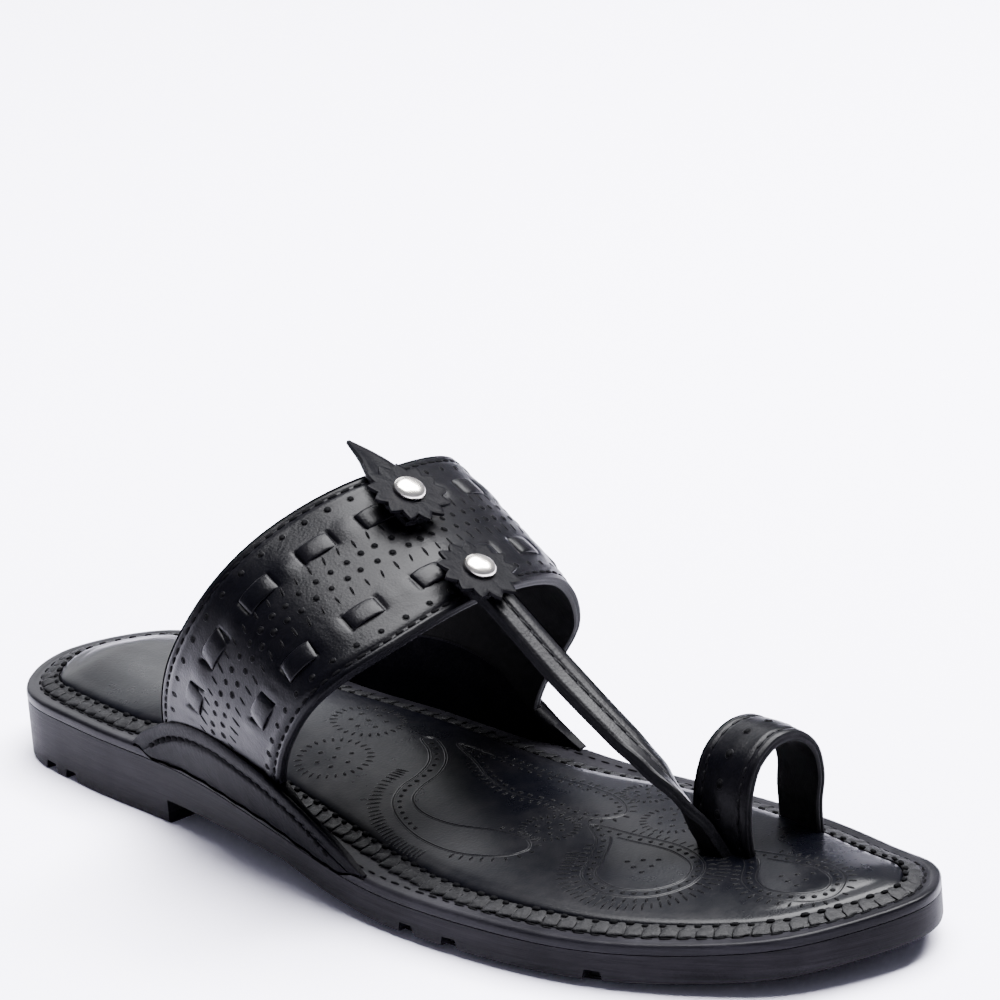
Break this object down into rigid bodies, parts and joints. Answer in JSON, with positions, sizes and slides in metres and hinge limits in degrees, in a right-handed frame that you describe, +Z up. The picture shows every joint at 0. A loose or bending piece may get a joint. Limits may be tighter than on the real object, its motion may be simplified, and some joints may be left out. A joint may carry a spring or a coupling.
{
  "type": "kolhapuri sandal",
  "caption": "Flat leather toe-loop sandal for the right foot, with a pierced instep band, a toe strap, sewn side ears, pinked rosettes and a laced, padded footbed.",
  "frame": {"origin": "bottom centre of the whole sandal's box, on the floor", "axes": "+X from heel to toe, +Y towards the big-toe side, +Z up"},
  "size_m": [0.28, 0.0934, 0.0945],
  "materials": {
    "sole_rubber": "buffed black, satin",
    "rim_leather": "polished black",
    "lacing": "waxed black, frayed",
    "footbed_leather": "fine grain, semi-gloss black",
    "strap_leather": "smooth, semi-gloss black",
    "trim_leather": "satin black",
    "rivet_nickel": "polished warm nickel"
  },
  "bodies": {
    "root": {"outsole": "sole_rubber", "midsole": "rim_leather", "welt_braid": "lacing", "insole": "footbed_leather", "upper": "strap_leather", "ear_lateral": "strap_leather", "ear_medial": "strap_leather", "leaf_tip": "trim_leather", "rosette_rear": "trim_leather", "rosette_front": "trim_leather", "rivet_rear": "rivet_nickel", "rivet_front": "rivet_nickel"}
  },
  "joints": []
}
